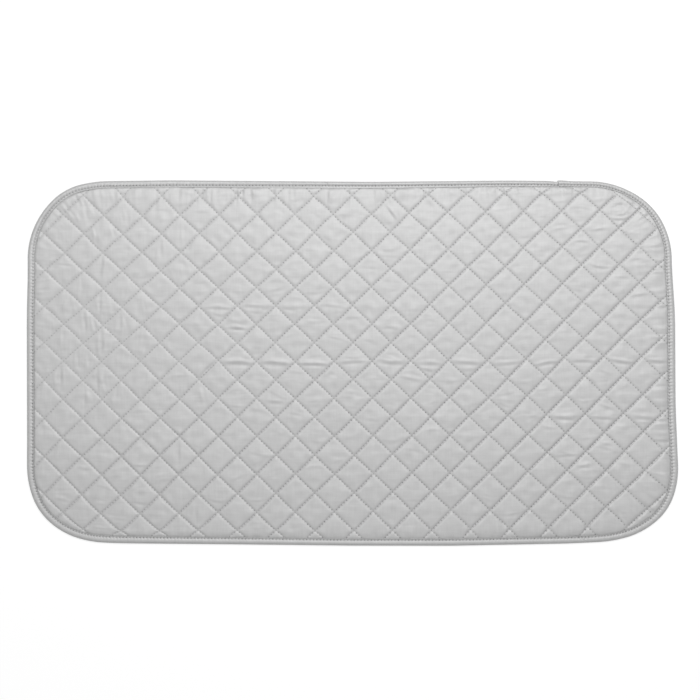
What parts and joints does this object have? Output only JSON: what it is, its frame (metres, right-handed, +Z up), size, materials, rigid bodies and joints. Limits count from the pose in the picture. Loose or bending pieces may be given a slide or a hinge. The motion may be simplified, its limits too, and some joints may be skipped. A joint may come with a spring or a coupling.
{
  "type": "ironing pad",
  "caption": "Flat quilted ironing pad with rounded corners, silver cloth sewn over felt in diamonds, a bound edge and a storage fold across its middle.",
  "frame": {"origin": "centre of the pad's outline, at the surface that it lies on", "axes": "+X along the pad and its storage fold, +Y across the pad towards the rear half, +Z up out of the ironing side"},
  "size_m": [0.85, 0.48, 0.0055],
  "materials": {
    "silver_cloth": "satin silver coating on a fine woven cloth",
    "felt_batting": "matt needled felt",
    "backing_cloth": "matt woven cloth",
    "binding_tape": "satin silver coating on a fine woven tape",
    "sewing_thread": "twisted polyester thread"
  },
  "bodies": {
    "front_half": {"front_top_cover": "silver_cloth", "front_batting": "felt_batting", "front_backing": "backing_cloth", "front_binding": "binding_tape", "front_quilting_thread": "sewing_thread", "front_binding_thread": "sewing_thread"},
    "rear_half": {"rear_top_cover": "silver_cloth", "rear_batting": "felt_batting", "rear_backing": "backing_cloth", "rear_binding": "binding_tape", "rear_quilting_thread": "sewing_thread", "rear_binding_thread": "sewing_thread"}
  },
  "joints": [
    {"name": "storage_fold", "type": "hinge", "parent": "front_half", "child": "rear_half", "pos_m": [0, 0, 0.0058], "axis": [1, 0, 0], "range_deg": [0, 180]}
  ]
}
